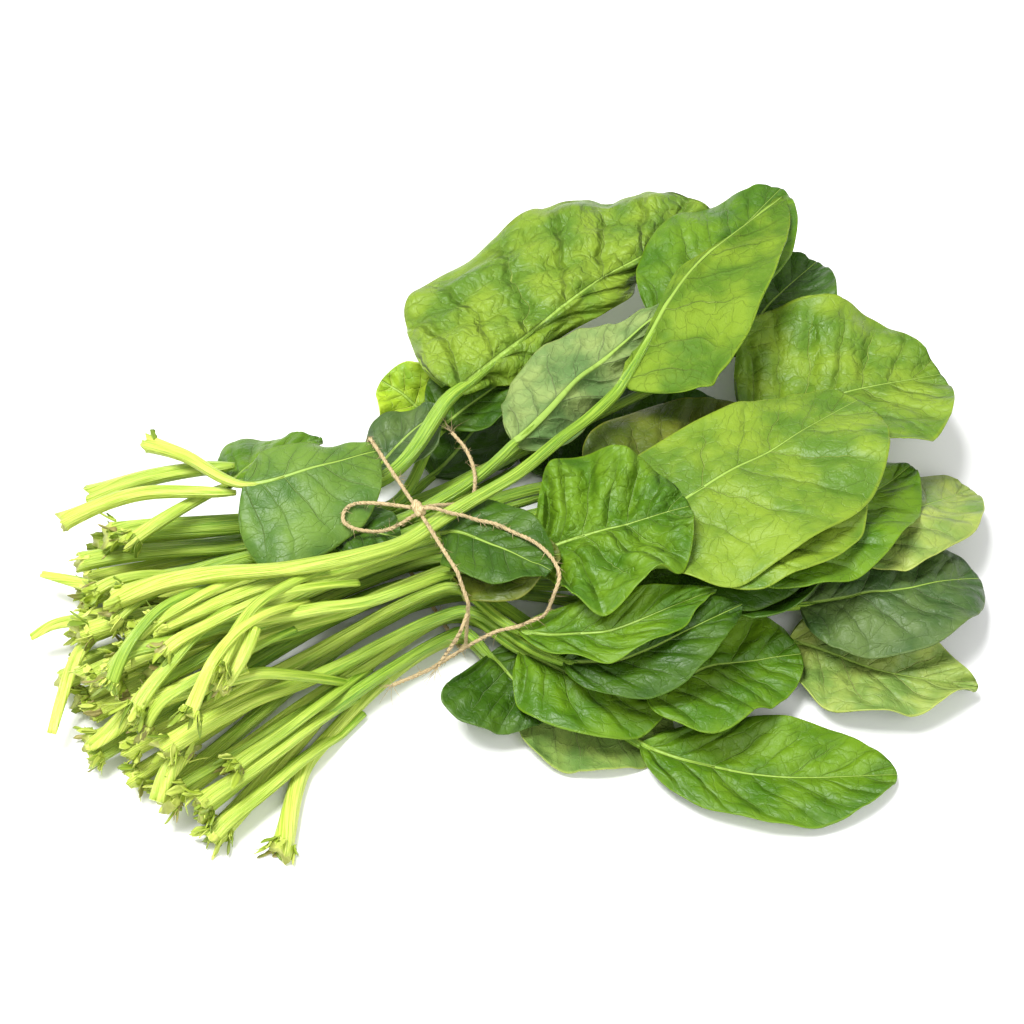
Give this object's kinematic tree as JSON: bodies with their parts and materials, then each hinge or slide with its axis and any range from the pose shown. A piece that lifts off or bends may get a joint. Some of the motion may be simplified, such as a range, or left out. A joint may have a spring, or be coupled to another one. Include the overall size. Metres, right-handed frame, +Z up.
{
  "type": "spinach bunch",
  "caption": "Bunch of spinach leaves on long pale stalks, tied round the middle with jute twine, lying on its side.",
  "frame": {"origin": "middle of the bunch's footprint on the surface that it lies on", "axes": "+X along the bunch from the cut stalk ends to the leaf tips, +Z up"},
  "size_m": [0.3413, 0.2672, 0.0522],
  "materials": {
    "leaf_blue": "blue-green waxy leaf, satin",
    "leaf_bright": "bright green waxy leaf, satin",
    "leaf_bronze": "bronze-tinged leaf, satin",
    "leaf_dark": "dark green waxy leaf, satin",
    "leaf_green": "mid green waxy leaf, satin",
    "leaf_pale": "pale matte underside of a leaf",
    "stalk": "pale yellow-green stalk, satin",
    "twine": "undyed jute twine, matte"
  },
  "bodies": {
    "root": {"leaf_back": "leaf_bright", "leaf_behind_top": "leaf_green", "leaf_big_right": "leaf_green", "leaf_blue_green": "leaf_blue", "leaf_bright_far": "leaf_bright", "leaf_bronze": "leaf_bronze", "leaf_centre": "leaf_bright", "leaf_crumpled": "leaf_bright", "leaf_dark_far": "leaf_dark", "leaf_dark_near": "leaf_dark", "leaf_dark_tie": "leaf_dark", "leaf_far_right": "leaf_dark", "leaf_folded_shade": "leaf_dark", "leaf_grey_far": "leaf_blue", "leaf_light_near": "leaf_green", "leaf_long_near": "leaf_dark", "leaf_main": "leaf_green", "leaf_near_right": "leaf_green", "leaf_near_tail": "leaf_pale", "leaf_olive_tie": "leaf_bronze", "leaf_olive_underside": "leaf_pale", "leaf_over_stems": "leaf_pale", "leaf_pale_folded": "leaf_pale", "leaf_pale_right": "leaf_pale", "leaf_right": "leaf_green", "leaf_round_near": "leaf_green", "leaf_sliver": "leaf_bright", "leaf_small_bright": "leaf_bright", "leaf_small_stem": "leaf_dark", "leaf_thin_near": "leaf_green", "leaf_under_back": "leaf_dark", "leaf_under_far": "leaf_dark", "leaf_under_fold": "leaf_dark", "leaf_under_middle": "leaf_dark", "leaf_under_tip": "leaf_dark", "sprig_crown": "stalk", "sprig_far": "stalk", "sprig_hanging": "stalk", "sprig_near": "stalk", "sprig_yellow": "stalk", "stalk_flared": "stalk", "stalk_flared_near": "stalk", "stalk_left": "stalk", "stalk_top": "stalk", "twine": "twine"}
  },
  "joints": []
}
